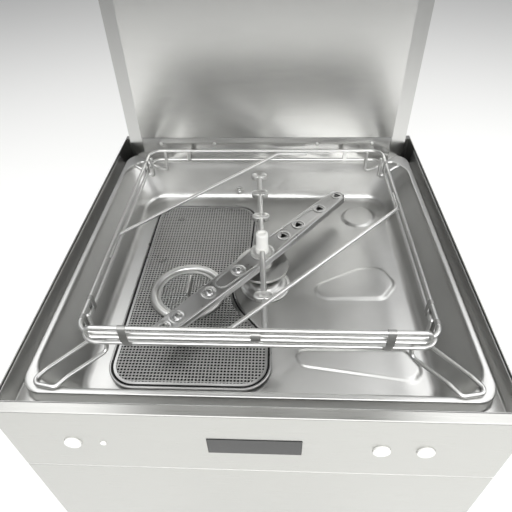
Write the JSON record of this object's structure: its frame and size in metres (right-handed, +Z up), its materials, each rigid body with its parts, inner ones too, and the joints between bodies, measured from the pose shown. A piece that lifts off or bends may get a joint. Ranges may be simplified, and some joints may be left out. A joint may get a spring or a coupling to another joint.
{
  "type": "pass-through glass washer",
  "caption": "Free-standing pass-through glass washer: raised hood, wash tank with wire rack frame, filters, and wash and rinse arms above and below.",
  "frame": {"origin": "centre of the footprint on the floor, midway between the two side panels and between the handle bar's front and the rear column's back", "axes": "+Z up, front with the controls at -Y, +X to the right of someone standing at the front"},
  "size_m": [0.642, 0.8, 1.83],
  "materials": {
    "satin_stainless": "fine brushed sheet",
    "drawn_stainless": "smooth deep-drawn sheet, semi-bright",
    "bright_wire": "electropolished stainless wire",
    "perforated_stainless": "perforated sheet",
    "white_plastic": "moulded",
    "black_plastic": "fine texture",
    "grey_plastic": "fine texture",
    "display_black": "polished",
    "hose_rubber": "matte",
    "motor_paint": "satin paint",
    "board_green": "solder mask",
    "pump_plastic": "glass-filled moulding"
  },
  "bodies": {
    "cabinet": {"chassis": "satin_stainless", "left_panel": "satin_stainless", "right_panel": "satin_stainless", "control_fascia": "satin_stainless", "rear_panel": "satin_stainless", "rear_wall": "satin_stainless", "rear_column": "satin_stainless", "guide_bracket_left": "satin_stainless", "guide_bracket_right": "satin_stainless", "wash_tank": "drawn_stainless", "arm_pillar": "drawn_stainless", "upper_manifold": "drawn_stainless", "rinse_boiler": "drawn_stainless", "hood_spring_left": "bright_wire", "hood_spring_right": "bright_wire", "tank_probe": "bright_wire", "boiler_element": "bright_wire", "indicator_lamp": "white_plastic", "inlet_valve": "white_plastic", "foot_front_left": "black_plastic", "foot_front_right": "black_plastic", "foot_rear_left": "black_plastic", "foot_rear_right": "black_plastic", "cable_gland": "black_plastic", "electrical_box": "grey_plastic", "display_window": "display_black", "suction_hose": "hose_rubber", "drain_hose": "hose_rubber", "wash_pump_motor": "motor_paint", "control_board": "board_green", "wash_pump_volute": "pump_plastic", "drain_pump": "pump_plastic", "riser_pipe": "pump_plastic"},
    "front_access": {"front_panel": "satin_stainless"},
    "filter_tray": {"filter_tray": "perforated_stainless"},
    "round_filter": {"round_filter": "perforated_stainless"},
    "rack_support": {"rack_frame": "bright_wire", "front_guard": "bright_wire", "diagonal_wire_left": "bright_wire", "diagonal_wire_right": "bright_wire", "corner_leg_front_left": "bright_wire", "corner_leg_front_right": "bright_wire", "corner_leg_rear_left": "bright_wire", "corner_leg_rear_right": "bright_wire"},
    "lower_wash_arm": {"lower_wash_arm": "drawn_stainless"},
    "lower_rinse_arm": {"lower_rinse_arm": "drawn_stainless"},
    "lower_cap": {"lower_cap_nut": "white_plastic"},
    "upper_wash_arm": {"upper_wash_arm": "drawn_stainless"},
    "upper_rinse_arm": {"upper_rinse_arm": "drawn_stainless"},
    "upper_cap": {"upper_cap_nut": "white_plastic"},
    "hood": {"hood": "satin_stainless", "hood_handle": "bright_wire", "hood_rail_left": "satin_stainless", "hood_rail_right": "satin_stainless"},
    "roller_left": {"guide_roller_left": "white_plastic"},
    "roller_right": {"guide_roller_right": "white_plastic"},
    "impeller": {"pump_impeller": "white_plastic"},
    "power_button": {"power_button": "white_plastic"},
    "start_button": {"start_button": "white_plastic"},
    "drain_button": {"drain_button": "white_plastic"}
  },
  "joints": [
    {"name": "hood_slide", "type": "slide", "parent": "cabinet", "child": "hood", "axis": [0, 0, 1], "range_m": [-0.485, 0], "deforming": ["hood_spring_left", "hood_spring_right"]},
    {"name": "roller_left_spin", "type": "hinge", "parent": "cabinet", "child": "roller_left", "pos_m": [-0.2511, 0.317, 1.25], "axis": [0, 1, 0], "range_deg": [-2781, 2]},
    {"name": "roller_right_spin", "type": "hinge", "parent": "cabinet", "child": "roller_right", "pos_m": [0.2511, 0.317, 1.25], "axis": [0, 1, 0], "range_deg": [-2, 2781]},
    {"name": "rack_support_lift", "type": "slide", "parent": "cabinet", "child": "rack_support", "axis": [0, 0, 1], "range_m": [0, 0.15]},
    {"name": "filter_tray_lift", "type": "slide", "parent": "cabinet", "child": "filter_tray", "axis": [0, 0, 1], "range_m": [0, 0.012]},
    {"name": "round_filter_lift", "type": "slide", "parent": "filter_tray", "child": "round_filter", "axis": [0, 0, 1], "range_m": [0, 0.014]},
    {"name": "lower_wash_arm_spin", "type": "hinge", "parent": "cabinet", "child": "lower_wash_arm", "pos_m": [0, 0, 0.776], "axis": [0, 0, 1], "continuous": true},
    {"name": "lower_rinse_arm_spin", "type": "hinge", "parent": "cabinet", "child": "lower_rinse_arm", "pos_m": [0, 0, 0.7905], "axis": [0, 0, 1], "continuous": true},
    {"name": "lower_cap_unscrew", "type": "hinge", "parent": "cabinet", "child": "lower_cap", "pos_m": [0, 0, 0.7965], "axis": [0, 0, 1], "range_deg": [0, 1080]},
    {"name": "upper_wash_arm_spin", "type": "hinge", "parent": "cabinet", "child": "upper_wash_arm", "pos_m": [0, 0, 1.29], "axis": [0, 0, 1], "continuous": true},
    {"name": "upper_rinse_arm_spin", "type": "hinge", "parent": "cabinet", "child": "upper_rinse_arm", "pos_m": [0, 0, 1.2815], "axis": [0, 0, 1], "continuous": true},
    {"name": "upper_cap_unscrew", "type": "hinge", "parent": "cabinet", "child": "upper_cap", "pos_m": [0, 0, 1.246], "axis": [0, 0, 1], "range_deg": [-1080, 0]},
    {"name": "impeller_spin", "type": "hinge", "parent": "cabinet", "child": "impeller", "pos_m": [0.11, 0.02, 0.33], "axis": [0, 1, 0], "continuous": true},
    {"name": "front_access_pull", "type": "slide", "parent": "cabinet", "child": "front_access", "axis": [0, -1, 0], "range_m": [0, 0.15]},
    {"name": "power_press", "type": "slide", "parent": "cabinet", "child": "power_button", "axis": [0, 1, 0], "range_m": [0, 0.003], "stiffness_N_per_m": 700, "springref_m": -0.001},
    {"name": "start_press", "type": "slide", "parent": "cabinet", "child": "start_button", "axis": [0, 1, 0], "range_m": [0, 0.003], "stiffness_N_per_m": 700, "springref_m": -0.001},
    {"name": "drain_press", "type": "slide", "parent": "cabinet", "child": "drain_button", "axis": [0, 1, 0], "range_m": [0, 0.003], "stiffness_N_per_m": 700, "springref_m": -0.001}
  ],
  "couplings": [
    {"joint": "roller_left_spin", "follows": "hood_slide", "rad_per_m": 100},
    {"joint": "roller_right_spin", "follows": "hood_slide", "rad_per_m": -100}
  ]
}
